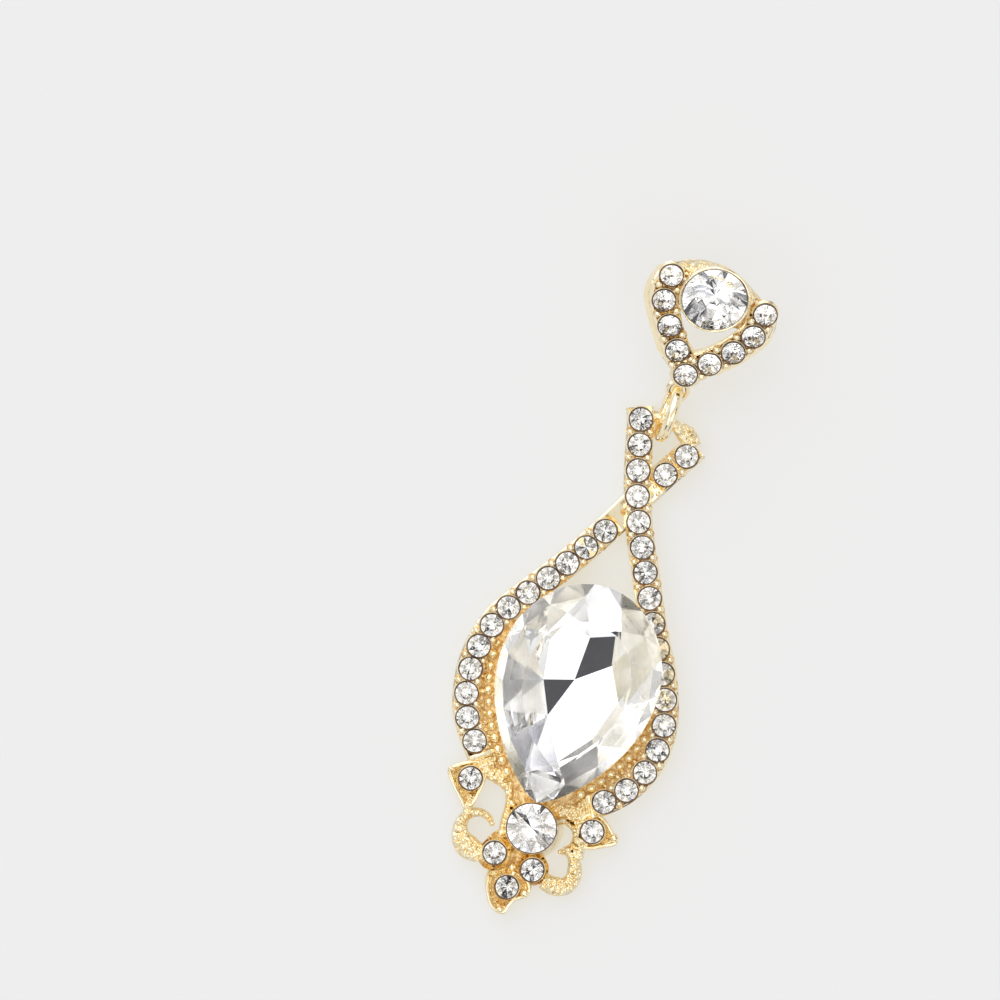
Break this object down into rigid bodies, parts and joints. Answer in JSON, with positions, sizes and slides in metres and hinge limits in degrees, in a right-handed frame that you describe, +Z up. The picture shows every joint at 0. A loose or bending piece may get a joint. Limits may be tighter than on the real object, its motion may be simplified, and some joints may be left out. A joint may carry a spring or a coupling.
{
  "type": "teardrop drop earring",
  "caption": "Gold-tone drop earring with crossing crystal-set strands around a large pear-cut crystal, leaf and scroll ornament, jump ring and crystal V stud with an ear post.",
  "frame": {"origin": "middle of the footprint, on the surface that the earring lies on", "axes": "+Y along the earring from the bottom leaf to the stud, +X to the right seen from the front, +Z up out of the face"},
  "size_m": [0.0184, 0.0542, 0.0103],
  "materials": {
    "gold": "polished pale yellow gold plating on a cast base metal",
    "large_crystal": "clear cut crystal with a silvered back",
    "small_crystal": "clear cut crystal with a silvered back"
  },
  "bodies": {
    "root": {"drop_frame": "gold", "jump_ring": "gold", "stud_frame": "gold", "ear_post": "gold", "pear_stone": "large_crystal", "round_stone": "large_crystal", "stud_stone": "large_crystal", "over_stone_01": "small_crystal", "over_stone_02": "small_crystal", "over_stone_03": "small_crystal", "over_stone_04": "small_crystal", "over_stone_05": "small_crystal", "over_stone_06": "small_crystal", "over_stone_07": "small_crystal", "over_stone_08": "small_crystal", "over_stone_09": "small_crystal", "over_stone_10": "small_crystal", "over_stone_11": "small_crystal", "over_stone_12": "small_crystal", "over_stone_13": "small_crystal", "over_stone_14": "small_crystal", "over_stone_15": "small_crystal", "over_stone_16": "small_crystal", "over_stone_17": "small_crystal", "under_stone_01": "small_crystal", "under_stone_02": "small_crystal", "under_stone_03": "small_crystal", "under_stone_04": "small_crystal", "under_stone_05": "small_crystal", "under_stone_06": "small_crystal", "under_stone_07": "small_crystal", "under_stone_08": "small_crystal", "under_stone_09": "small_crystal", "under_stone_10": "small_crystal", "under_stone_11": "small_crystal", "under_stone_12": "small_crystal", "under_stone_13": "small_crystal", "under_stone_14": "small_crystal", "leaf_stone_01": "small_crystal", "leaf_stone_02": "small_crystal", "leaf_stone_03": "small_crystal", "leaf_stone_04": "small_crystal", "leaf_stone_05": "small_crystal", "stud_small_01": "small_crystal", "stud_small_02": "small_crystal", "stud_small_03": "small_crystal", "stud_small_04": "small_crystal", "stud_small_05": "small_crystal", "stud_small_06": "small_crystal", "stud_small_07": "small_crystal", "stud_small_08": "small_crystal", "stud_small_09": "small_crystal"}
  },
  "joints": []
}
